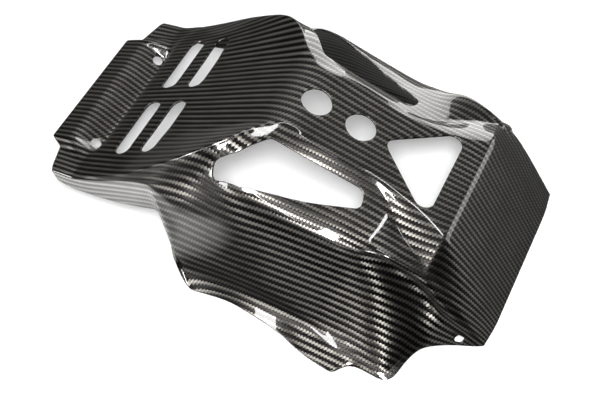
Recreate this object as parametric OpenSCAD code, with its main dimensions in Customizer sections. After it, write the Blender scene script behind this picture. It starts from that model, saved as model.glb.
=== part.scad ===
// Skid plate: one moulded carbon-fibre shell that bolts under a motorbike engine.
// X runs from the rear flange to the front lip, Y across, Z up from the floor it rests on.
// The outer face is a net of guide lines, rounded where they bend, and the laminate
// lies under it. The lines are given for the +Y half and mirrored.

/* [Overall size] */
// length from the rear flange to the front lip
plate_l = 433; // [380:1:480]
// width over the two wings
plate_w = 340; // [300:1:380]
// height of the crest above the floor
plate_h = 133; // [115:1:150]
// thickness of the laminate
wall = 2; // [1.6:0.1:4]

/* [Mount holes] */
// bore of the two holes in the rear strip
rear_bore = 10; // [8:0.5:12]
// sideways place of the rear holes
rear_bolt_y = 59; // [50:1:62]
// bore of the two holes in the front corners
front_bore = 8.5; // [6.5:0.5:10]

/* [Openings] */
// bore of the two round holes in the sloping panel
port_bore = 28; // [20:1:34]
// distance between the round holes, along the panel
port_pitch = 43.5; // [38:0.5:50]
// width of the four drain slots
slot_w = 16; // [8:0.5:18]
// length of a drain slot over its round ends
slot_l = 70; // [50:1:76]
// bare web between the inner ends of a pair of slots
slot_web = 19; // [14:1:30]
// corner radius of the triangular opening
tri_r = 9; // [5:0.5:12]
// corner radius of the side windows
window_r = 7; // [5:0.5:9]

/* [Mesh] */
// steps from one guide line to the next
steps = 3; // [2:1:4]

/* [Hidden] */
$fn = 48;

carbon = [0.09, 0.09, 0.10];
size = [plate_l / 433, plate_w / 340, plate_h / 133];

// Side view of the flat middle, as [x, z]: flange, bolt strip, bottom panel,
// crest, sloping panel, front face.
profile = [
    [-216.5, 49], [-194.5, 56], [-171, 43.5], [-163.5, 59], [-128.5, 75.5], [-88.5, 94],
    [-45.5, 115.5], [-3.5, 134.8], [36.5, 120.5], [76.5, 108], [101.5, 100], [128.5, 92],
    [146.5, 88], [160, 84.5], [188.5, 43], [216.5, 1.16]
];
// half widths of the middle at each station: inside the bolt strip, and its edge
flat_y = [65, 65, 65, 65, 52, 44, 36, 28, 28, 28, 29, 32, 36, 42, 44, 46];
edge_y = [70, 72, 72, 72, 66, 62, 52, 36, 36, 36, 42, 48, 55, 64, 66, 70];
// the edge line passes above the flat middle: at the strip's ends, which it closes,
// and where the panel rises towards the fold
edge_lift = [0, 0, 10.5, 0, 0, 3, 1, .6, 0, 0, 0, 0, 0, 0, 0, 0];

// crease from the rear notch over the crest to the front corner
ridge = [
    [-204.5, 77, 47], [-191.5, 82, 49], [-175.5, 91, 51.5], [-161.5, 104, 56],
    [-130.5, 107.5, 71.5], [-88.5, 103, 101.7], [-41, 88.5, 134.2], [-6.5, 37.5, 133],
    [36.5, 43.5, 121.5], [76.5, 41.5, 107.3], [102.5, 48.5, 93.5], [124.5, 71, 82],
    [140.5, 81, 79], [156.5, 88.5, 73], [182.5, 93, 45], [214, 91.5, 1.16]
];
// outer shoulder: side edge of the rear panel, brow of the flank, brow of the scoop
shoulder = [
    [-196, 107, 50], [-186, 108, 51], [-172.5, 108.5, 51], [-159.5, 109.5, 55],
    [-131, 110, 65.5], [-88.5, 113.5, 88.5], [-48.5, 98, 101.5], [-21.5, 103.5, 116.3],
    [31.5, 100, 99.4], [73.5, 100.5, 84.5], [96.5, 102, 81.5], [119.5, 104.5, 88.5],
    [143.5, 103.5, 79], [161.5, 101.5, 65], [174.5, 103, 50], [213.5, 93, 1.16]
];
// free lower edge: side wall, rear edge of the wing, its two lobes, front corner
rim = [
    [-190.5, 107, 38.5], [-179.5, 107, 34.5], [-166.5, 107.5, 35], [-154.5, 108, 36],
    [-125.5, 108.5, 39], [-83.5, 110.5, 53], [-41.5, 145, 4], [-3.5, 141.5, 3.5],
    [41.5, 150, 2.5], [78.5, 165, 2.5], [106.5, 171, 2.5], [119.5, 157, 3],
    [154.5, 162, 2.5], [164, 124, 9.5], [183.5, 107.5, 5], [209.5, 95, 1.16]
];
// the crown of the upper flank: share of the way from ridge to shoulder, and how far it
// stands off that way at stations 6 to 8
crown_way = [.3, .3, .3, .3, .5, .5, .5, .5, .5, .5, .5, .5, .3, .3, .3, .3];
brow = [[.4, 1, 4.3], [-1, 0, 9], [-.3, 0, -6.7]];
// lines down the flank, from station 5 to station 14: back of the scoop,
// lip of the scoop, fold above the step, foot of the step
hood = [
    [-88, 113.8, 86], [-57.5, 116, 79], [-7.5, 117, 88], [37.5, 111, 81], [75, 109.5, 71],
    [98.5, 101, 79], [122.5, 89, 69], [144.5, 87, 55], [162.5, 91.5, 40], [176.5, 101, 33]
];
lip = [
    [-88, 114, 84], [-58.5, 123, 57], [-6.5, 127, 59], [39.5, 123, 55], [76.5, 121, 50],
    [100.5, 105.5, 70], [120.5, 107, 61], [142.5, 108.5, 42], [160.5, 108.5, 28],
    [175.5, 106.5, 24]
];
fold = [
    [-87.5, 114, 82], [-59.5, 132, 34], [-5, 133, 35], [39.5, 136, 27], [74.5, 136, 19.5],
    [104.5, 142, 15], [125.5, 151, 10], [148.5, 158, 4.5], [161.5, 119, 17], [179.5, 108, 13]
];
step = [
    [-85, 112, 59], [-54.5, 134, 15], [-4, 133.5, 18.5], [40, 136, 13.5], [76.5, 141.5, 9.5],
    [108.5, 156, 5.5], [125.5, 155.5, 5.5], [150.5, 160.5, 3.5], [163, 122, 13],
    [182, 108, 9]
];

// How far each bend is rounded, as a share of the way to the next station or line:
// along the body, along the wing, and across.
soft_body = [0, .3, .15, .15, .5, .5, .5, .45, .5, .5, .5, .5, .4, .15, .5, 0];
soft_wing = [0, .5, .5, .5, .5, .15, .15, .3, .4, .3, .2, .35, .35, .45, .45, 0];
soft_line = [0, .1, .4, .15, .4, .5, .35, .25, .25, .3, 0];
// share of the wing's rounding that each guide line takes
wingness = [0, 0, 0, 0, 0, .5, 1, 1, 1, 1, 1];

// places on the panels, and the openings as seen from above
panel_tilt = atan2(profile[8][1] - profile[11][1], profile[11][0] - profile[8][0]);
strip_tilt = atan2(profile[1][1] - profile[2][1], profile[2][0] - profile[1][0]);
rear_tilt = atan2(profile[5][1] - profile[4][1], profile[5][0] - profile[4][0]);
port_x = 16.5;
port_z = 126.8;
slot_x = [-139.3, -111.8];
rear_bolt = [-177.5, rear_bolt_y, 46];
front_bolt = [193.5, 100, 10];
front_bolt_turn = [0, 74, 61];
tri = [[79, 0], [139.5, -54], [139.5, 54]];
window = [
    [-0.3, 54.6], [84, 53.3], [88, 68], [32, 88.8], [-8, 101.2], [-31, 101.8], [-41.5, 94.5],
    [-19, 79]
];

// ---- guide lines and surface ----

// weight of the neighbour behind, at d from a point whose bend is rounded over a
function pull(d, a) = d < -a ? -d : d > a ? 0 : pow(a - d, 2) / (4 * a);

// point at t on a line of control points, each bend rounded by its share
function along(line, soft, t) =
    let(n = len(line) - 1, i = min(max(round(t), 0), n), d = t - i)
    i == 0 ? line[0] + (line[1] - line[0]) * d :
    i == n ? line[n] + (line[n - 1] - line[n]) * -d :
    line[i] + (line[i - 1] - line[i]) * pull(d, soft[i])
            + (line[i + 1] - line[i]) * pull(-d, soft[i]);

// a flank line: stations 0 to 4 lie on the side wall, the last on the front corner
function flank(line, share) = [
    for (i = [0:4]) shoulder[i] + (rim[i] - shoulder[i]) * share,
    each line,
    shoulder[15] + (rim[15] - shoulder[15]) * share
];

function level(half_y, lift) = [
    for (i = [0:15]) [profile[i][0], half_y[i], profile[i][1] + lift[i]]
];

LINES = [
    [for (p = profile) [p[0], 0, p[1]]],
    level(flat_y, edge_lift * 0),
    level(edge_y, edge_lift),
    ridge,
    [for (i = [0:15]) ridge[i] + (shoulder[i] - ridge[i]) * crown_way[i]
        + (i > 5 && i < 9 ? brow[i - 6] : [0, 0, 0])],
    shoulder, flank(hood, .5), flank(lip, .65), flank(fold, .8), flank(step, .9), rim
];

function mirrored(p) = [p[0], -p[1], p[2]];

// half a section at station t, then the whole one from -Y to +Y
function half_section(t) =
    let(ends = [for (k = [0:10]) along(LINES[k],
        soft_body + (soft_wing - soft_body) * wingness[k], t)])
    [for (s = [0:10 * steps]) along(ends, soft_line, s / steps)];
function section(t) =
    let(half = half_section(t), n = len(half) - 1)
    [for (j = [-n:n]) let(p = half[abs(j)], q = j < 0 ? mirrored(p) : p)
        [q[0] * size[0], q[1] * size[1], q[2] * size[2]]];

// outward direction at a grid point, from its neighbours
function outward(g, i, j) =
    let(n = len(g) - 1, m = len(g[0]) - 1,
        a = g[min(i + 1, n)][j] - g[max(i - 1, 0)][j],
        b = g[i][min(j + 1, m)] - g[i][max(j - 1, 0)],
        c = cross(a, b))
    c / norm(c);

// closed shell between a grid of points and the same grid moved in by the wall
module shell_of(grid) {
    n = len(grid);
    m = len(grid[0]);
    inner = [for (i = [0:n - 1]) [for (j = [0:m - 1])
        grid[i][j] - outward(grid, i, j) * wall]];
    points = [for (g = [grid, inner]) for (row = g) each row];
    base = n * m;
    top = [for (i = [0:n - 2]) for (j = [0:m - 2])
        let(a = i * m + j, b = a + m) each [[a, a + 1, b + 1], [a, b + 1, b]]];
    under = [for (f = top) [f[2] + base, f[1] + base, f[0] + base]];
    // the outline of the grid, in order
    edge = [
        for (j = [0:m - 2]) j,
        for (i = [0:n - 2]) i * m + m - 1,
        for (j = [m - 1:-1:1]) (n - 1) * m + j,
        for (i = [n - 1:-1:1]) i * m
    ];
    cut = [for (k = [0:len(edge) - 1])
        let(a = edge[k], b = edge[(k + 1) % len(edge)])
        each [[b, a, a + base], [b, a + base, b + base]]];
    polyhedron(points, concat(top, under, cut));
}

// ---- openings ----

// a polygon with every corner rounded by an arc of radius r
function rounded(pts, r) = [
    for (i = [0:len(pts) - 1])
    let(p = pts[i], a = pts[(i + len(pts) - 1) % len(pts)] - p, b = pts[(i + 1) % len(pts)] - p,
        u = a / norm(a), v = b / norm(b), half = acos(u * v) / 2,
        mid = (u + v) / norm(u + v), c = p + mid * r / sin(half),
        from = atan2(-mid[1], -mid[0]), side = cross(u, v) > 0 ? -1 : 1)
    for (s = [-1:0.25:1])
        c + r * [cos(from + side * s * (90 - half)), sin(from + side * s * (90 - half))]
];

module slot_cut() {
    linear_extrude(30, center = true) {
        for (e = [-1, 1]) translate([0, e * (slot_l - slot_w) / 2]) circle(d = slot_w);
        square([slot_w, slot_l - slot_w], center = true);
    }
}

module openings() {
    for (k = [0, 1])
        translate([port_x + k * port_pitch * cos(panel_tilt), 0,
                   port_z - k * port_pitch * sin(panel_tilt)])
            rotate([0, panel_tilt, 0]) cylinder(d = port_bore, h = 30, center = true);
    for (x = slot_x, s = [-1, 1])
        translate([x, s * (slot_web + slot_l) / 2,
                   profile[4][1] + (x - profile[4][0]) * tan(rear_tilt)])
            rotate([0, -rear_tilt, 0]) slot_cut();
    translate([0, 0, 60]) linear_extrude(60) polygon(rounded(tri, tri_r));
    for (s = [0, 1]) mirror([0, s, 0])
        translate([0, 0, 60]) linear_extrude(80) polygon(rounded(window, window_r));
}

module mount_bores() {
    for (s = [0, 1]) mirror([0, s, 0]) {
        translate(rear_bolt) rotate([0, strip_tilt, 0])
            cylinder(d = rear_bore, h = 12, center = true);
        translate(front_bolt) rotate(front_bolt_turn)
            cylinder(d = front_bore, h = 12, center = true);
    }
}

// ---- the one moulded piece ----

module skid_plate() {
    color(carbon)
    difference() {
        shell_of([for (i = [0:15 * steps]) section(i / steps)]);
        openings();
        mount_bores();
    }
}

skid_plate();
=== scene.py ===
import math

import bpy
import numpy as np
from mathutils import Matrix, Vector


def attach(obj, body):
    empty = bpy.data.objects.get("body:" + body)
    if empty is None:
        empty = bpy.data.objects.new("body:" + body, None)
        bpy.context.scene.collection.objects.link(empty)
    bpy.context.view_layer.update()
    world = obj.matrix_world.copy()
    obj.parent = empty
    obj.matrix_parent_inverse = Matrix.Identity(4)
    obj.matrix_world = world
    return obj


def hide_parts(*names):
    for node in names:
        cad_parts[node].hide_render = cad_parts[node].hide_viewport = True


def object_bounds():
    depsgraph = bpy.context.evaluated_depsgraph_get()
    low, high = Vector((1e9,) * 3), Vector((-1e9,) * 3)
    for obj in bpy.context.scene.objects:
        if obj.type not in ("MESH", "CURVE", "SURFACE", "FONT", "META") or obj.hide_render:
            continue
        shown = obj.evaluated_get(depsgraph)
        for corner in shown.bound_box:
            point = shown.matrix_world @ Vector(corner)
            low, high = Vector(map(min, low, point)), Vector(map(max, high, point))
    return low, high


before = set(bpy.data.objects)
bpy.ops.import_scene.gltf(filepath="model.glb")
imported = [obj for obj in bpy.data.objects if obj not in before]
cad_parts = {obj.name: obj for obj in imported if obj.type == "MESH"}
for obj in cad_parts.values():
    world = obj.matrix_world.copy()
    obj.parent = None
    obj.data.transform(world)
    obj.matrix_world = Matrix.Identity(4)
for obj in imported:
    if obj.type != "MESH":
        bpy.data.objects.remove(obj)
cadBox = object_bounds()          # box of the CAD part, before anything is added
mm = 0.001

# The moulded shell. Everything in mm, X from the rear flange to the front lip, +Y half, mirrored.

shell = {
    "wall": 2.0,              # laminate thickness
    "edgeRadius": 0.5,        # how far the trimmed edges are sanded round
    "samplesAlong": 11,       # grid steps from one station to the next
    "samplesAcross": 9,       # grid steps from one guide line to the next
    "crowding": 0.55,         # how much the grid steps crowd towards the bends
    "slideWithin": 4,         # mm, grid points this near to a cut may be slid onto it
    "slideLimit": 0.36,       # and by no more than this part of a grid step
    "slideMiss": 0.02,        # mm, how near to the cut a slid point has to come
    "slideRounds": 4,
    "halvings": 16,           # rounds that find where a side crosses a cut
    "lastStation": 15,        # stations count from 0 at the rear flange
    "lastLine": 10,           # guide lines count from 0 in the middle
    "crest": 7,               # station where the cloth's length starts to count
    "clothRounds": 700,
    # side view of the flat middle: flange, strip, bottom panel, crest, slope, front face
    "profile": [(-216.5, 49), (-194.5, 56), (-171, 43.5), (-163.5, 59), (-128.5, 75.5),
                (-88.5, 94), (-45.5, 115.5), (-3.5, 134.8), (36.5, 120.5), (76.5, 108),
                (101.5, 100), (128.5, 92), (146.5, 88), (160, 84.5), (188.5, 43), (216.5, 1.16)],
    "flatHalf": [65, 65, 65, 65, 52, 44, 36, 28, 28, 28, 29, 32, 36, 42, 44, 46],
    "edgeHalf": [70, 72, 72, 72, 66, 62, 52, 36, 36, 36, 42, 48, 55, 64, 66, 70],
    # the edge line passes above the flat middle at the strip's ends and towards the fold
    "edgeLift": [0, 0, 10.5, 0, 0, 3, 1, .6, 0, 0, 0, 0, 0, 0, 0, 0],
    "ridge": [(-204.5, 77, 47), (-191.5, 82, 49), (-175.5, 91, 51.5), (-161.5, 104, 56),
              (-130.5, 107.5, 71.5), (-88.5, 103, 101.7), (-41, 88.5, 134.2), (-6.5, 37.5, 133),
              (36.5, 43.5, 121.5), (76.5, 41.5, 107.3), (102.5, 48.5, 93.5), (124.5, 71, 82),
              (140.5, 81, 79), (156.5, 88.5, 73), (182.5, 93, 45), (214, 91.5, 1.16)],
    "shoulder": [(-196, 107, 50), (-186, 108, 51), (-172.5, 108.5, 51), (-159.5, 109.5, 55),
                 (-131, 110, 65.5), (-88.5, 113.5, 88.5), (-48.5, 98, 101.5),
                 (-21.5, 103.5, 116.3), (31.5, 100, 99.4), (73.5, 100.5, 84.5),
                 (96.5, 102, 81.5), (119.5, 104.5, 88.5), (143.5, 103.5, 79),
                 (161.5, 101.5, 65), (174.5, 103, 50), (213.5, 93, 1.16)],
    # crown of the upper flank: share of the way from ridge to shoulder, and how far it
    # stands off that way at three stations
    "crownWay": [.3, .3, .3, .3, .5, .5, .5, .5, .5, .5, .5, .5, .3, .3, .3, .3],
    "browFrom": 6,
    "brow": [(.4, 1, 4.3), (-1, 0, 9), (-.3, 0, -6.7)],
    "rim": [(-190.5, 107, 38.5), (-179.5, 107, 34.5), (-166.5, 107.5, 35), (-154.5, 108, 36),
            (-125.5, 108.5, 39), (-83.5, 110.5, 53), (-41.5, 145, 4), (-3.5, 141.5, 3.5),
            (41.5, 150, 2.5), (78.5, 165, 2.5), (106.5, 171, 2.5), (119.5, 157, 3),
            (154.5, 162, 2.5), (164, 124, 9.5), (183.5, 107.5, 5), (209.5, 95, 1.16)],
    # the four flank lines; before the first station and at the last, each lies at its
    # share of the way from shoulder to rim
    "flankFrom": 5,
    "flank": {
        "hood": (0.5, [(-88, 113.8, 86), (-57.5, 116, 79), (-7.5, 117, 88), (37.5, 111, 81),
                       (75, 109.5, 71), (98.5, 101, 79), (122.5, 89, 69), (144.5, 87, 55),
                       (162.5, 91.5, 40), (176.5, 101, 33)]),
        "lip": (0.65, [(-88, 114, 84), (-58.5, 123, 57), (-6.5, 127, 59), (39.5, 123, 55),
                       (76.5, 121, 50), (100.5, 105.5, 70), (120.5, 107, 61),
                       (142.5, 108.5, 42), (160.5, 108.5, 28), (175.5, 106.5, 24)]),
        "fold": (0.8, [(-87.5, 114, 82), (-59.5, 132, 34), (-5, 133, 35), (39.5, 136, 27),
                       (74.5, 136, 19.5), (104.5, 142, 15), (125.5, 151, 10),
                       (148.5, 158, 4.5), (161.5, 119, 17), (179.5, 108, 13)]),
        "step": (0.9, [(-85, 112, 59), (-54.5, 134, 15), (-4, 133.5, 18.5), (40, 136, 13.5),
                       (76.5, 141.5, 9.5), (108.5, 156, 5.5), (125.5, 155.5, 5.5),
                       (150.5, 160.5, 3.5), (163, 122, 13), (182, 108, 9)]),
    },
    # how far each bend is rounded, as a share of the way to its neighbour
    "softBody": [0, .3, .15, .15, .5, .5, .5, .45, .5, .5, .5, .5, .4, .15, .5, 0],
    "softWing": [0, .5, .5, .5, .5, .15, .15, .3, .4, .3, .2, .35, .35, .45, .45, 0],
    "softLine": [0, .1, .4, .15, .4, .5, .35, .25, .25, .3, 0],
    "wingShare": [0, 0, 0, 0, 0, .5, 1, 1, 1, 1, 1],
}

cuts = {
    "rearBolt": {"at": (-177.5, 59, 46), "bore": 10, "stations": (1, 2)},
    "frontBolt": {"at": (193.5, 100, 10), "bore": 8.5, "lean": 74, "turn": 61},
    "port": {"x": 16.5, "z": 126.8, "bore": 28, "pitch": 43.5, "stations": (8, 11)},
    "slot": {"x": (-139.3, -111.8), "wide": 16, "long": 70, "web": 19, "stations": (4, 5)},
    "triangle": {"corners": [(79, 0), (139.5, -54), (139.5, 54)], "radius": 9},
    "window": {"corners": [(-0.3, 54.6), (84, 53.3), (88, 68), (32, 88.8), (-8, 101.2),
                           (-31, 101.8), (-41.5, 94.5), (-19, 79)], "radius": 7},
    "lowest": 60,             # triangle and windows cut only what lies above this
    "farOff": 99,             # distance given to points below it
}


def guideLines():
    # The net of control points: eleven lines of sixteen points. The three lines of the flat
    # middle come from the side view and a half width. The crown lies between ridge and
    # shoulder by its share of the way, plus the brow. A flank line lies on the way from
    # shoulder to rim by its own share at the ends, and has its own points between.
    side = np.array(shell["profile"], float)
    ridge, shoulder, rim = [np.array(shell[k], float) for k in ("ridge", "shoulder", "rim")]
    crown = ridge + (shoulder - ridge) * np.array(shell["crownWay"])[:, None]
    browFrom = shell["browFrom"]
    crown[browFrom:browFrom + len(shell["brow"])] += shell["brow"]

    def level(half, lift):
        return np.stack([side[:, 0], np.array(half, float), side[:, 1] + lift], 1)

    flat = np.zeros(len(side))
    ends = np.r_[:shell["flankFrom"], shell["lastStation"]]
    lines = [level(flat, flat), level(shell["flatHalf"], flat),
             level(shell["edgeHalf"], np.array(shell["edgeLift"])), ridge, crown, shoulder]
    for share, middle in shell["flank"].values():
        partWay = shoulder[ends] + (rim[ends] - shoulder[ends]) * share
        lines.append(np.vstack([partWay[:-1], middle, partWay[-1:]]))
    return np.stack(lines + [rim])


def bendWeights(count, soft, t):
    # Weights of the control points at each t. Away from a point they are those of the
    # straight way to the next one. Nearer than the softness a, the neighbour's weight
    # follows the parabola (a - d)^2 / 4a, which meets both straight ways smoothly.
    t = np.asarray(t, float)
    near = np.clip(np.floor(t + 0.5).astype(int), 0, count - 1)
    d, a = t - near, np.maximum(np.asarray(soft, float)[near], 1e-9)

    def pull(d):
        return np.where(d < -a, -d, np.where(d > a, 0, (a - d) ** 2 / (4 * a)))

    atEnd = (near == 0) | (near == count - 1)
    back = np.where(atEnd, np.maximum(-d, 0), pull(d))
    ahead = np.where(atEnd, np.maximum(d, 0), pull(-d))
    weights, row = np.zeros((len(t), count)), np.arange(len(t))
    weights[row, near] = 1 - back - ahead
    ok = near > 0
    weights[row[ok], near[ok] - 1] += back[ok]
    ok = near < count - 1
    weights[row[ok], near[ok] + 1] += ahead[ok]
    return weights


net = guideLines()
softBody, softWing = np.array(shell["softBody"]), np.array(shell["softWing"])
lastStation, lastLine = shell["lastStation"], shell["lastLine"]


def outerFace(u, v):
    # Point on the outer face for arrays of station u (0 to 15) and line v (-10 to 10):
    # each guide line is followed to u, then the eleven points are joined across to |v|,
    # and y takes the sign of v.
    section = np.stack([bendWeights(lastStation + 1, softBody + (softWing - softBody) * share, u)
                        @ line for share, line in zip(shell["wingShare"], net)], 1)
    across = bendWeights(lastLine + 1, shell["softLine"], np.abs(v))
    points = np.einsum("nk,nkc->nc", across, section)
    points[:, 1] *= np.where(v < 0, -1, 1)
    return points


def outward(u, v, reach=0.3):
    # Unit normal: the cross product of the two ways along the face, each taken from reach
    # before the point to reach after it, in stations and lines. A wide reach keeps the
    # inner face from folding in the tight bends.
    a = outerFace(np.minimum(u + reach, lastStation), v) - outerFace(np.maximum(u - reach, 0), v)
    b = outerFace(u, np.minimum(v + reach, lastLine)) \
        - outerFace(u, np.maximum(v - reach, -lastLine))
    c = np.cross(a, b)
    return c / np.linalg.norm(c, axis=1, keepdims=True)


def roundedPolygon(x, y, corners, radius):
    # Distance to a polygon with round corners: the polygon is drawn in by the radius, and
    # the distance to its sides, less the radius, is the answer. A point is inside where a
    # level line from it crosses an odd number of sides.
    p = np.array(corners, float)
    along = np.roll(p, -1, 0) - p
    along /= np.linalg.norm(along, axis=1, keepdims=True)
    inward = np.stack([-along[:, 1], along[:, 0]], 1)
    offset = (p * inward).sum(1) + radius
    before, offsetBefore = np.roll(inward, 1, 0), np.roll(offset, 1)
    det = before[:, 0] * inward[:, 1] - before[:, 1] * inward[:, 0]
    q = np.stack([(offsetBefore * inward[:, 1] - offset * before[:, 1]) / det,
                  (before[:, 0] * offset - inward[:, 0] * offsetBefore) / det], 1)
    at = np.stack([x, y], 1)
    a, b = q, np.roll(q, -1, 0)
    side = b - a
    t = np.clip(((at[:, None] - a) * side).sum(2) / (side ** 2).sum(1), 0, 1)
    gap = np.linalg.norm(at[:, None] - a - side * t[..., None], axis=2).min(1)
    astride = (a[:, 1] > y[:, None]) != (b[:, 1] > y[:, None])
    rise = np.where(np.abs(side[:, 1]) < 1e-9, 1e-9, side[:, 1])
    crossed = astride & (x[:, None] < a[:, 0] + (y[:, None] - a[:, 1]) * side[:, 0] / rise)
    inside = crossed.sum(1) % 2 == 1
    return np.where(inside, -gap, gap) - radius


def openingDistance(p):
    # Distance from points on the face to the nearest opening, negative inside one.
    # Round holes: distance to their axis. Slots: distance to a short straight line.
    # Triangle and windows: the rounded polygons, seen from above.
    x, y, z = p[:, 0], np.abs(p[:, 1]), p[:, 2]
    side = np.array(shell["profile"], float)
    gaps = []

    def fall(stations):
        # angle below level of the straight way from one station of the side view to another
        a, b = side[list(stations)]
        return math.atan2(a[1] - b[1], b[0] - a[0])

    def toAxis(at, axis):
        q = np.stack([x, y, z], 1) - at
        return np.linalg.norm(q - (q @ axis)[:, None] * axis, axis=1)

    bolt = cuts["rearBolt"]
    strip = fall(bolt["stations"])
    gaps.append(toAxis(bolt["at"], np.array([math.sin(strip), 0, math.cos(strip)]))
                - bolt["bore"] / 2)
    bolt = cuts["frontBolt"]
    lean, turn = math.radians(bolt["lean"]), math.radians(bolt["turn"])
    gaps.append(toAxis(bolt["at"], np.array([math.sin(lean) * math.cos(turn),
                                             math.sin(lean) * math.sin(turn),
                                             math.cos(lean)])) - bolt["bore"] / 2)
    port = cuts["port"]
    slope = fall(port["stations"])
    for k in (0, 1):
        at = (port["x"] + k * port["pitch"] * math.cos(slope), 0,
              port["z"] - k * port["pitch"] * math.sin(slope))
        gaps.append(toAxis(at, np.array([math.sin(slope), 0, math.cos(slope)]))
                    - port["bore"] / 2)
    slot = cuts["slot"]
    rise = -fall(slot["stations"])
    startX, startZ = side[slot["stations"][0]]
    for centre in slot["x"]:
        across = (x - centre) * math.cos(rise) \
            + (z - startZ - (centre - startX) * math.tan(rise)) * math.sin(rise)
        over = np.abs(y - (slot["web"] + slot["long"]) / 2) - (slot["long"] - slot["wide"]) / 2
        gaps.append(np.hypot(across, np.maximum(over, 0)) - slot["wide"] / 2)
    for name, sideways in (("triangle", p[:, 1]), ("window", y)):
        gap = roundedPolygon(x, sideways, cuts[name]["corners"], cuts[name]["radius"])
        gaps.append(np.where(z > cuts["lowest"], gap, cuts["farOff"]))
    return np.min(gaps, 0)


def crowdedSteps(spans, perSpan, crowd):
    # Parameter values that lie closer together near each whole number, where the bends
    # are: t - crowd * sin(2 pi t) / 2 pi.
    t = np.arange(spans * perSpan + 1) / perSpan
    return t - crowd * np.sin(2 * np.pi * t) / (2 * np.pi)


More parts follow.
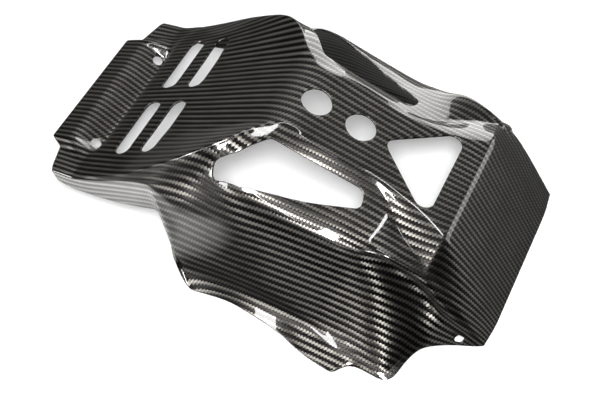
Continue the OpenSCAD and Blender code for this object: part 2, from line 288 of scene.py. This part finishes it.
def trimmedGrid():
    # Triangles of the outer face with the openings cut out. Grid points next to a cut
    # are first slid onto it, down the slope of the distance to it. Each triangle that
    # still crosses one is then clipped, at points found on its sides by halving.
    u = crowdedSteps(lastStation, shell["samplesAlong"], shell["crowding"])
    v = crowdedSteps(lastLine, shell["samplesAcross"], shell["crowding"])
    v = np.concatenate([-v[:0:-1], v])
    nu, nv = len(u), len(v)
    uu, vv = [g.ravel() for g in np.meshgrid(u, v, indexing="ij")]

    def gap(u, v):
        return openingDistance(outerFace(u, v)) - shell["edgeRadius"]

    f = gap(uu, vv)
    du = np.gradient(u)[:, None].repeat(nv, 1).ravel()
    dv = np.gradient(v)[None].repeat(nu, 0).ravel()
    border = np.zeros((nu, nv), bool)
    border[[0, -1]], border[:, [0, -1]] = True, True
    near = np.where((np.abs(f) < shell["slideWithin"]) & ~border.ravel())[0]
    at = np.stack([uu[near], vv[near]], 1)
    step = np.stack([du[near], dv[near]], 1)
    moved = at.copy()
    probe = 0.02              # part of a grid step over which a slope is measured
    for _ in range(shell["slideRounds"]):
        here = gap(moved[:, 0], moved[:, 1])
        slopeU = (gap(moved[:, 0] + probe * step[:, 0], moved[:, 1]) - here) / probe
        slopeV = (gap(moved[:, 0], moved[:, 1] + probe * step[:, 1]) - here) / probe
        size = np.maximum(slopeU ** 2 + slopeV ** 2, 1e-6)
        moved -= (here / size)[:, None] * np.stack([slopeU, slopeV], 1) * step
    away = np.abs((moved - at) / step).max(1)
    miss = np.abs(gap(moved[:, 0], moved[:, 1]))
    onCut = (away < shell["slideLimit"]) & (miss < shell["slideMiss"])
    uu[near[onCut]], vv[near[onCut]] = moved[onCut].T
    f[near[onCut]] = 0
    sign = np.sign(f).astype(int)

    i, j = [g.ravel() for g in np.meshgrid(np.arange(nu - 1), np.arange(nv - 1),
                                           indexing="ij")]
    a = i * nv + j
    b, c, d = a + nv, a + nv + 1, a + 1
    # the cell is split so that the two halves mirror each other in the middle plane
    left = v[j] < -1e-9
    tris = np.where(left[:, None, None],
                    np.stack([np.stack([a, b, d], 1), np.stack([b, c, d], 1)], 1),
                    np.stack([np.stack([a, b, c], 1), np.stack([a, c, d], 1)], 1)).reshape(-1, 3)
    s = sign[tris]
    whole = (s >= 0).all(1) & (s > 0).any(1)
    rest = (s == 0).all(1)
    centre = gap(uu[tris[rest]].mean(1), vv[tris[rest]].mean(1)) > 0
    whole[np.where(rest)[0][centre]] = True
    crossing = (s > 0).any(1) & (s < 0).any(1)
    kept = [tris[whole]]
    mixed, s = tris[crossing], s[crossing]
    # turn each crossing triangle until its odd corner comes first
    ups, downs = (s > 0).sum(1), (s < 0).sum(1)
    lone = np.where(ups == 1, (s > 0).argmax(1), (s < 0).argmax(1))
    lone = np.where((ups == 1) & (downs == 1), (s > 0).argmax(1), lone)
    turn = (lone[:, None] + np.arange(3)) % 3
    mixed = np.take_along_axis(mixed, turn, 1)
    s = np.take_along_axis(s, turn, 1)
    sides = np.concatenate([mixed[:, [0, 1]], mixed[:, [0, 2]]])
    crossed = np.concatenate([s[:, 0] * s[:, 1] < 0, s[:, 0] * s[:, 2] < 0])
    ordered = np.sort(sides, 1)
    edges, which = np.unique(ordered[crossed], axis=0, return_inverse=True)
    lo, hi = np.zeros(len(edges)), np.ones(len(edges))
    flow = f[edges[:, 0]] < 0
    for _ in range(shell["halvings"]):
        mid = (lo + hi) / 2
        below = gap(uu[edges[:, 0]] * (1 - mid) + uu[edges[:, 1]] * mid,
                    vv[edges[:, 0]] * (1 - mid) + vv[edges[:, 1]] * mid) < 0
        first = below == flow
        lo, hi = np.where(first, mid, lo), np.where(first, hi, mid)
    cut = (lo + hi) / 2
    newU = uu[edges[:, 0]] * (1 - cut) + uu[edges[:, 1]] * cut
    newV = vv[edges[:, 0]] * (1 - cut) + vv[edges[:, 1]] * cut
    place = np.full(len(sides), -1)
    place[crossed] = len(uu) + which.ravel()
    ab, ac = place[:len(mixed)], place[len(mixed):]
    uu, vv = np.concatenate([uu, newU]), np.concatenate([vv, newV])
    # a corner that lies on the cut stands in for the crossing of that side
    ab = np.where(ab < 0, mixed[:, 1], ab)
    ac = np.where(ac < 0, mixed[:, 2], ac)
    tip = s[:, 0] > 0
    kept.append(np.stack([mixed[:, 0], ab, ac], 1)[tip])
    both = ~tip & (s[:, 1] > 0) & (s[:, 2] > 0)
    kept.append(np.stack([ab, mixed[:, 1], mixed[:, 2]], 1)[both])
    kept.append(np.stack([ab, mixed[:, 2], ac], 1)[both])
    onlyB = ~tip & (s[:, 1] > 0) & (s[:, 2] == 0)
    kept.append(np.stack([ab, mixed[:, 1], mixed[:, 2]], 1)[onlyB])
    onlyC = ~tip & (s[:, 1] == 0) & (s[:, 2] > 0)
    kept.append(np.stack([mixed[:, 1], mixed[:, 2], ac], 1)[onlyC])
    faces = np.concatenate(kept)
    used, index = np.unique(faces, return_inverse=True)
    return uu[used], vv[used], index.reshape(-1, 3), (u, v)


def clothMap(u, v, grid):
    # Where the cloth's threads lie, in mm. The threads follow the plate's length as well as
    # the shape allows: over every step of the grid the first number should grow by the
    # step's part along X laid on the face, and the second by its part across that. Both
    # are found by least squares over the +Y half, with conjugate gradients.
    gu, gv = grid[0], grid[1][len(grid[1]) // 2:]
    nu, nv = len(gu), len(gv)
    uu, vv = [g.ravel() for g in np.meshgrid(gu, gv, indexing="ij")]
    p, n = outerFace(uu, vv).reshape(nu, nv, 3), outward(uu, vv, 0.1).reshape(nu, nv, 3)
    length = np.array([1.0, 0, 0]) - n * n[..., :1]
    length /= np.linalg.norm(length, axis=2, keepdims=True)
    steps = [np.diff(p, axis=k) for k in (0, 1)]
    sizes = [np.linalg.norm(e, axis=2) for e in steps]

    def halved(field, axis):
        # mean of each neighbour pair along an axis
        field = np.moveaxis(field, axis, 0)
        return np.moveaxis((field[1:] + field[:-1]) / 2, 0, axis)

    # a step weighs as the width of the strip it stands for, over its length
    spans = [halved(np.pad(sizes[1], ((0, 0), (1, 1))), 1),
             halved(np.pad(sizes[0], ((1, 1), (0, 0))), 0)]
    weight = [halved(spans[k], k) / np.maximum(sizes[k], 1e-6) for k in (0, 1)]

    def gather(flow):
        # what arrives at each grid point over its steps, less what leaves it
        total = np.zeros((nu, nv))
        total[:-1] -= flow[0]
        total[1:] += flow[0]
        total[:, :-1] -= flow[1]
        total[:, 1:] += flow[1]
        return total

    def solved(direction, free):
        # the field whose steps come nearest to the direction's, where free is 1
        wanted = gather([weight[k] * (steps[k] * halved(direction, k)).sum(2) for k in (0, 1)])
        share = np.zeros((nu, nv))
        for k in (0, 1):
            padding = [(0, 0), (0, 0)]
            padding[k] = (1, 1)
            padded = np.moveaxis(np.pad(weight[k], padding), k, 0)
            share += np.moveaxis(padded[1:] + padded[:-1], 0, k)
        x, left = np.zeros((nu, nv)), wanted * free
        ready = left / share
        way, old = ready.copy(), (left * ready).sum()
        for _ in range(shell["clothRounds"]):
            pushed = gather([weight[k] * np.diff(way, axis=k) for k in (0, 1)]) * free
            stride = old / (way * pushed).sum()
            x += stride * way
            left -= stride * pushed
            ready = left / share
            new = (left * ready).sum()
            way, old = ready + way * new / old, new
        return x

    free = np.ones((nu, nv))
    along = solved(length, free)
    free[:, 0] = 0            # the second number is 0 along the middle
    across = solved(np.cross(n, length), free)
    along -= along[np.abs(gu - shell["crest"]).argmin(), 0]
    side = np.abs(v)
    i = np.clip(np.searchsorted(gu, u, side="right") - 1, 0, nu - 2)
    j = np.clip(np.searchsorted(gv, side, side="right") - 1, 0, nv - 2)
    a = np.clip((u - gu[i]) / (gu[i + 1] - gu[i]), 0, 1)
    b = np.clip((side - gv[j]) / (gv[j + 1] - gv[j]), 0, 1)

    def read(field):
        # between the four grid points around each place, by the share of each
        return (field[i, j] * (1 - a) * (1 - b) + field[i + 1, j] * a * (1 - b)
                + field[i, j + 1] * (1 - a) * b + field[i + 1, j + 1] * a * b)

    return np.stack([read(along), read(across) * np.sign(v)], 1)


def buildShell():
    # The outer face, the inner face one wall thickness below it, and between them around
    # every free edge a strip whose section runs out by a quarter round, straight down and
    # back by a quarter round.
    u, v, faces, grid = trimmedGrid()
    outer = outerFace(u, v)
    normal = outward(u, v)
    cloth = clothMap(u, v, grid)
    halfEdges = np.concatenate([faces[:, [0, 1]], faces[:, [1, 2]], faces[:, [2, 0]]])
    key = halfEdges[:, 0] * len(u) + halfEdges[:, 1]
    back = halfEdges[:, 1] * len(u) + halfEdges[:, 0]
    free = halfEdges[~np.isin(key, back)]
    ring = free[:, 0]
    ahead, behind = np.full(len(u), -1), np.full(len(u), -1)
    ahead[free[:, 0]], behind[free[:, 1]] = free[:, 1], free[:, 0]
    way = outer[ahead[ring]] - outer[behind[ring]]
    way /= np.linalg.norm(way, axis=1, keepdims=True)
    n = normal[ring]
    off = np.cross(way, n)
    off /= np.linalg.norm(off, axis=1, keepdims=True)
    # the outline of the plate is drawn in by the edge radius; the openings already are
    r, wall = shell["edgeRadius"], shell["wall"]
    tiny = 1e-6
    onBorder = (u[ring] < tiny) | (u[ring] > lastStation - tiny) \
        | (np.abs(v[ring]) > lastLine - tiny)
    outer[ring[onBorder]] -= off[onBorder] * r
    inner = outer - normal * wall
    turns = np.radians([30, 60, 90])
    out = np.concatenate([r * np.sin(turns), r * np.sin(turns[::-1])])
    deep = np.concatenate([r * (1 - np.cos(turns)), wall - r * (1 - np.cos(turns[::-1]))])
    strips = outer[ring][None] + off[None] * out[:, None, None] - n[None] * deep[:, None, None]
    count, rows = len(u), len(out)
    spot = np.full(count, -1)
    spot[ring] = np.arange(len(ring))
    levels = np.concatenate([ring[None], 2 * count + np.arange(rows)[:, None] * len(ring)
                             + np.arange(len(ring))[None], count + ring[None]])
    here, there = levels[:, spot[free[:, 0]]], levels[:, spot[free[:, 1]]]
    quads = np.stack([here[:-1], here[1:], there[1:], there[:-1]], -1).reshape(-1, 4)
    points = np.concatenate([outer, inner, strips.reshape(-1, 3)])
    # round the edge the cloth runs on, askew, by how far out and down the strip lies
    askew = [0.7, 0.7]
    edgeCloth = cloth[ring][None] + (out + deep)[:, None, None] * askew
    clothAll = np.concatenate([cloth, cloth, edgeCloth.reshape(-1, 2)])
    polygons = [faces, faces[:, ::-1] + count]
    # the CAD part has flat facets; the smooth one is drawn in by up to 0.2 mm to stay in
    # its box
    margin = 0.01
    low, high = points.min(0), points.max(0)
    boxLow, boxHigh = [np.array(c) / mm for c in cadBox]
    points = boxLow + margin + (points - low) * (boxHigh - boxLow - 2 * margin) / (high - low)
    return points, polygons, quads, clothAll


def meshFrom(name, points, triangles, quads, cloth):
    # One mesh of triangles and quads, its points and cloth map turned from mm to metres.
    mesh = bpy.data.meshes.new(name)
    loops = np.concatenate([t.ravel() for t in triangles] + [quads.ravel()])
    sizes = np.concatenate([np.full(len(t), 3) for t in triangles] + [np.full(len(quads), 4)])
    mesh.vertices.add(len(points))
    mesh.vertices.foreach_set("co", (points * mm).astype(np.float32).ravel())
    mesh.loops.add(len(loops))
    mesh.loops.foreach_set("vertex_index", loops.astype(np.int32))
    mesh.polygons.add(len(sizes))
    mesh.polygons.foreach_set("loop_start", (np.cumsum(sizes) - sizes).astype(np.int32))
    mesh.polygons.foreach_set("use_smooth", np.ones(len(sizes), bool))
    mesh.update(calc_edges=True)
    layer = mesh.uv_layers.new(name="clothMap")
    layer.data.foreach_set("uv", (cloth[loops] * mm).astype(np.float32).ravel())
    mesh.validate()
    piece = bpy.data.objects.new(name, mesh)
    bpy.context.scene.collection.objects.link(piece)
    return piece


def colourOf(hexCode):
    # sRGB hex to the linear numbers that Blender works in
    c = np.array([int(hexCode[k:k + 2], 16) for k in (1, 3, 5)]) / 255
    c = np.where(c <= 0.04045, c / 12.92, ((c + 0.055) / 1.055) ** 2.4)
    return (*c.tolist(), 1.0)


def addNode(tree, kind, settings=None, **inputs):
    # Adds a node. Settings are its own properties; inputs go by socket name, or _0, _1 by
    # number, and are either values or the output sockets they are linked from.
    node = tree.nodes.new(kind)
    for key, value in (settings or {}).items():
        setattr(node, key, value)
    for key, value in inputs.items():
        socket = node.inputs[int(key[1:])] if key[0] == "_" else node.inputs[key.replace("_", " ")]
        if isinstance(value, bpy.types.NodeSocket):
            tree.links.new(value, socket)
        else:
            socket.default_value = value
    return node


twill = {
    "towWidth": 2.12,         # mm, a 3K tow; the ribs then repeat every 6 mm
    "fibre": "#7c7974",       # carbon filaments of the warp in their shine
    "weftPaintedShade": 0.13,        # painted shade: weft over warp drawn darker than it is, to keep the ribs everywhere
    "seam": "#07080a",        # resin between the tows
    "fibreRoughness": 0.4,
    "stretch": 0.8,           # how far the shine is drawn out across the filaments
    "relief": 0.1,            # mm, height of a tow over its neighbours
    "fullness": 0.92,         # part of a half wave that a tow's section takes up
    "flatness": 0.35,         # the lower, the flatter its top
    "filaments": (6.0, 0.35), # streaks to a tow across it and along it
    "streak": (0.75, 0.5),    # darkest streak, and how much brighter the brightest is
    "patch": (0.7, 0.6),      # the same for the slow drift of brightness over the face
    "patchPerMetre": 45.0,    # drifts to a metre, about 22 mm each
    "lacquerRoughness": 0.04,
    "lacquerIor": 1.52,
}


def carbonTwill():
    # Carbon-fibre laminate: 2x2 twill of 3K tows in epoxy, laid at 45 degrees in a mould
    # and lacquered. Filaments mirror like brushed metal, sharply along their length and
    # widely across it, so warp and weft take turns being bright where a lamp stands right
    # for one of them. On top of that, the weft's colour carries painted shade: it is drawn
    # darker than the warp's, standing in for the light that would pick out the ribs on a
    # facet that no lamp suits. Over them lies a smooth clear coat.
    material = bpy.data.materials.new("carbonTwillLacquered")
    material.use_nodes = True
    tree = material.node_tree
    tree.nodes.clear()

    def maths(operation, a, b=None, c=None):
        more = {k: x for k, x in (("_1", b), ("_2", c)) if x is not None}
        return addNode(tree, "ShaderNodeMath", {"operation": operation}, _0=a, **more).outputs[0]

    place = addNode(tree, "ShaderNodeUVMap", {"uv_map": "clothMap"}).outputs[0]
    # threads counted along both directions, turned 45 degrees to the plate's length
    threads = addNode(tree, "ShaderNodeMapping", {"vector_type": "POINT"}, Vector=place,
                      Rotation=(0, 0, math.radians(45)),
                      Scale=(1 / (twill["towWidth"] * mm),) * 3).outputs[0]
    split = addNode(tree, "ShaderNodeSeparateXYZ", Vector=threads)
    a, b = split.outputs[0], split.outputs[1]
    i, j = maths("FLOOR", a), maths("FLOOR", b)
    # place along the float of a warp tow and of a weft tow, -1 to 1 where it is on top
    warpAlong = maths("WRAP", maths("SUBTRACT", b, i), -2.0, 2.0)
    weftAlong = maths("WRAP", maths("SUBTRACT", maths("SUBTRACT", a, j), 3.0), -2.0, 2.0)
    warpUp = maths("LESS_THAN", maths("ABSOLUTE", warpAlong), 1.0)

    def crown(along, across):
        # height over the float: a cosine hump along it, and a flatter one across
        hump = maths("COSINE", maths("MULTIPLY", along, math.pi / 2))
        width = maths("COSINE", maths("MULTIPLY", maths("SUBTRACT", across, 0.5),
                                      math.pi * twill["fullness"]))
        return maths("MULTIPLY", maths("MAXIMUM", hump, 0.0),
                     maths("POWER", maths("MAXIMUM", width, 0.0), twill["flatness"]))

    warpHeight = crown(warpAlong, maths("FRACT", a))
    weftHeight = crown(weftAlong, maths("FRACT", b))
    height = addNode(tree, "ShaderNodeMix", {"data_type": "FLOAT"}, _0=warpUp, _2=weftHeight,
                     _3=warpHeight).outputs[0]
    # filaments: streaks drawn out along each tow, about six to a tow, coarser than real
    streaks = []
    fine, long = twill["filaments"]
    for stretch in ((fine, long, 1.0), (long, fine, 1.0)):
        drawn = addNode(tree, "ShaderNodeMapping", Vector=threads, Scale=stretch).outputs[0]
        streaks.append(addNode(tree, "ShaderNodeTexNoise", {"noise_dimensions": "2D"},
                               Vector=drawn, Scale=1.0, Detail=2.0, Roughness=0.5).outputs[0])
    streak = addNode(tree, "ShaderNodeMix", {"data_type": "FLOAT"}, _0=warpUp, _2=streaks[1],
                     _3=streaks[0]).outputs[0]
    # the cloth is a little brighter in one place than in the next
    patchy = addNode(tree, "ShaderNodeTexNoise", {"noise_dimensions": "2D"}, Vector=place,
                     Scale=twill["patchPerMetre"], Detail=2.0, Roughness=0.6).outputs[0]
    shade = maths("POWER", height, 0.5)
    for noise, (low, more) in ((streak, twill["streak"]), (patchy, twill["patch"])):
        shade = maths("MULTIPLY", shade, maths("MULTIPLY_ADD", noise, more, low))
    # painted shade: where the weft lies on top, its colour is drawn darker than the warp's,
    # standing in for light that picks out the ribs
    shade = maths("MULTIPLY", shade, maths("MULTIPLY_ADD", warpUp, 1 - twill["weftPaintedShade"],
                                           twill["weftPaintedShade"]))
    colour = addNode(tree, "ShaderNodeMix", {"data_type": "RGBA", "clamp_factor": True},
                     _0=shade, _6=colourOf(twill["seam"]), _7=colourOf(twill["fibre"])).outputs[2]
    bump = addNode(tree, "ShaderNodeBump", Strength=1.0, Distance=twill["relief"] * mm,
                   Height=height).outputs[0]
    # the shine is drawn out across the filaments: 45 degrees to either side of the length
    length = addNode(tree, "ShaderNodeTangent", {"direction_type": "UV_MAP",
                                                 "uv_map": "clothMap"}).outputs[0]
    flat = addNode(tree, "ShaderNodeNewGeometry").outputs["Normal"]
    turned = addNode(tree, "ShaderNodeVectorRotate", {"rotation_type": "AXIS_ANGLE"},
                     Vector=length, Axis=flat,
                     Angle=maths("MULTIPLY_ADD", warpUp, -math.pi / 2, math.pi / 4)).outputs[0]
    shader = addNode(tree, "ShaderNodeBsdfPrincipled", Base_Color=colour, Metallic=1.0,
                     Roughness=twill["fibreRoughness"], Anisotropic=twill["stretch"],
                     Coat_Weight=1.0, Coat_Roughness=twill["lacquerRoughness"],
                     Coat_IOR=twill["lacquerIor"], Normal=bump, Tangent=turned)
    addNode(tree, "ShaderNodeOutputMaterial", Surface=shader.outputs[0])
    return material


studio = {
    "floorGrey": "#e6e6e6",
    "floorHalf": 6.0,         # m, half a side of the floor
    "floorLift": 0.27,        # what the camera sees on top of the lit floor, up to white
    "floorGloss": 3.0,        # paper on the near left side, as the gloss sees it
    "floorDim": 0.12,         # the rest of the paper, as the gloss sees it
    # m, where that bright paper starts and where it is full: leftward, towards the
    # camera, and away from it
    "patchLeft": (-0.06, -0.14),
    "patchNear": (-0.08, -0.16),
    "patchAway": (-0.45, -0.25),
    "fill": 0.3,              # even light on matt things
    "ceiling": 0.01,          # the dark room as the gloss sees it
    # the camera: mm of focal length and sensor, place in mm, and its own three axes
    "lens": 80.12,
    "sensor": 36.0,
    "at": (333.9, -733.0, 948.2),
    "right": (0.9103, 0.4138, 0.0),
    "up": (-0.3171, 0.6975, 0.6427),
    "back": (0.2660, -0.5850, 0.7662),
    # name: centre in m, what it looks at in m, size in m, watts, and whether the gloss
    # mirrors it or it lights what is matt
    "lamps": {
        "overheadStrip": ((0.02, 0.48, 1.6), (0.02, 0, 0.1), (1.15, 0.1), 7, "gloss"),
        "mainBox": ((0.262, -0.806, 1.357), (0, 0, 0.05), (0.3, 0.55), 34, "gloss"),
        "lowBox": ((-0.8, -1.13, 0.8), (0, 0, 0.05), (0.6, 0.6), 20, "gloss"),
        "farBox": ((-0.1, 1.81, 0.8), (0, 0, 0.05), (1.4, 1.2), 22, "gloss"),
        "rightPanel": ((1.5, 1.27, 0.3), (0, 0, 0.05), (1.2, 1.0), 9, "gloss"),
        "keyBox": ((0.364, -0.859, 1.238), (0, 0, 0.05), (0.3, 0.3), 28, "matt"),
    },
}


def makeFloor():
    # A flat square, four points. The camera sees lit paper with a lift towards white, the
    # gloss sees a plain glow: dim paper with a bright patch.
    side = studio["floorHalf"]
    mesh = bpy.data.meshes.new("paperFloor")
    mesh.from_pydata([(-side, -side, 0), (side, -side, 0), (side, side, 0), (-side, side, 0)],
                     [], [(0, 1, 2, 3)])
    floor = bpy.data.objects.new("paperFloor", mesh)
    bpy.context.scene.collection.objects.link(floor)
    material = bpy.data.materials.new("matteWhitePaper")
    material.use_nodes = True
    tree = material.node_tree
    tree.nodes.clear()
    path = addNode(tree, "ShaderNodeLightPath")
    seen = addNode(tree, "ShaderNodeMath", {"operation": "MAXIMUM"},
                   _0=path.outputs["Is Camera Ray"], _1=path.outputs["Is Transmission Ray"])
    lift = addNode(tree, "ShaderNodeMath", {"operation": "MULTIPLY"}, _0=seen.outputs[0],
                   _1=studio["floorLift"])
    paper = addNode(tree, "ShaderNodeBsdfDiffuse", Color=colourOf(studio["floorGrey"]),
                    Roughness=0.5)
    glow = addNode(tree, "ShaderNodeEmission", Color=(1, 1, 1, 1), Strength=lift.outputs[0])
    total = addNode(tree, "ShaderNodeAddShader", _0=paper.outputs[0], _1=glow.outputs[0])
    # bright only on the near left side of the plate, between three soft borders
    spot = addNode(tree, "ShaderNodeSeparateXYZ",
                   _0=addNode(tree, "ShaderNodeTexCoord").outputs["Object"])

    def border(axis, name, full=1.0):
        # 0 before the first of two places, full after the second, and even between
        start, end = studio[name]
        return addNode(tree, "ShaderNodeMapRange", Value=spot.outputs[axis], From_Min=start,
                       From_Max=end, To_Min=0.0, To_Max=full)

    leftward = border(0, "patchLeft")
    nearward = border(1, "patchNear", studio["floorGloss"])
    away = border(1, "patchAway")
    patch = addNode(tree, "ShaderNodeMath", {"operation": "MULTIPLY"},
                    _0=leftward.outputs[0], _1=away.outputs[0])
    bright = addNode(tree, "ShaderNodeMath", {"operation": "MULTIPLY_ADD"},
                     _0=patch.outputs[0], _1=nearward.outputs[0], _2=studio["floorDim"])
    mirrored = addNode(tree, "ShaderNodeEmission", Color=(1, 1, 1, 1),
                       Strength=bright.outputs[0])
    total = addNode(tree, "ShaderNodeMixShader", _0=path.outputs["Is Glossy Ray"],
                    _1=total.outputs[0], _2=mirrored.outputs[0])
    addNode(tree, "ShaderNodeOutputMaterial", Surface=total.outputs[0])
    mesh.materials.append(material)


def aim(obj, at, target):
    # Turned so that its back points away from the target, and its own X axis runs as near
    # to the plate's X as that allows.
    away = (Vector(at) - Vector(target)).normalized()
    wide = (Vector((1, 0, 0)) - away * away.x).normalized()
    turn = Matrix([wide, away.cross(wide), away]).transposed().to_4x4()
    obj.matrix_world = Matrix.Translation(at) @ turn


def lightStudio():
    # The lamps, and a world of even light that the gloss sees as a dark room and the camera
    # as white.
    for name, (at, target, size, watts, lit) in studio["lamps"].items():
        lamp = bpy.data.lights.new(name, "AREA")
        lamp.shape = "RECTANGLE"
        lamp.size, lamp.size_y = size
        lamp.energy = watts
        obj = bpy.data.objects.new(name, lamp)
        bpy.context.scene.collection.objects.link(obj)
        aim(obj, at, target)
        obj.visible_diffuse, obj.visible_glossy = lit == "matt", lit == "gloss"
    world = bpy.data.worlds.new("studioRoom")
    bpy.context.scene.world = world
    world.use_nodes = True
    tree = world.node_tree
    tree.nodes.clear()
    path = addNode(tree, "ShaderNodeLightPath")
    fill = addNode(tree, "ShaderNodeBackground", Color=(1, 1, 1, 1), Strength=studio["fill"])
    dark = addNode(tree, "ShaderNodeBackground", Color=(1, 1, 1, 1),
                   Strength=studio["ceiling"])
    white = addNode(tree, "ShaderNodeBackground", Color=(1, 1, 1, 1), Strength=1.0)
    gloss = addNode(tree, "ShaderNodeMixShader", _0=path.outputs["Is Glossy Ray"],
                    _1=fill.outputs[0], _2=dark.outputs[0])
    seen = addNode(tree, "ShaderNodeMixShader", _0=path.outputs["Is Camera Ray"],
                   _1=gloss.outputs[0], _2=white.outputs[0])
    addNode(tree, "ShaderNodeOutputWorld", Surface=seen.outputs[0])


def makeCamera():
    # The photograph's own place and lens, as fitted to the outline and the openings.
    data = bpy.data.cameras.new("photoCamera")
    data.lens, data.sensor_width, data.sensor_fit = studio["lens"], studio["sensor"], "HORIZONTAL"
    data.clip_end = 20        # m, beyond the whole floor
    camera = bpy.data.objects.new("photoCamera", data)
    bpy.context.scene.collection.objects.link(camera)
    turn = Matrix([studio["right"], studio["up"], studio["back"]]).transposed().to_4x4()
    camera.matrix_world = Matrix.Translation(Vector(studio["at"]) * mm) @ turn
    bpy.context.scene.camera = camera


points, polygons, quads, cloth = buildShell()
plate = meshFrom("twillShell", points, polygons, quads, cloth)
print("shell:", len(plate.data.vertices), "vertices,", len(plate.data.polygons), "faces")
plate.data.materials.append(carbonTwill())
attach(plate, "root")
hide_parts("skid_plate")
print("material: carbon twill")

makeFloor()
lightStudio()
makeCamera()
bpy.context.scene.view_settings.view_transform = "Standard"
print("studio: floor, lamps, camera")
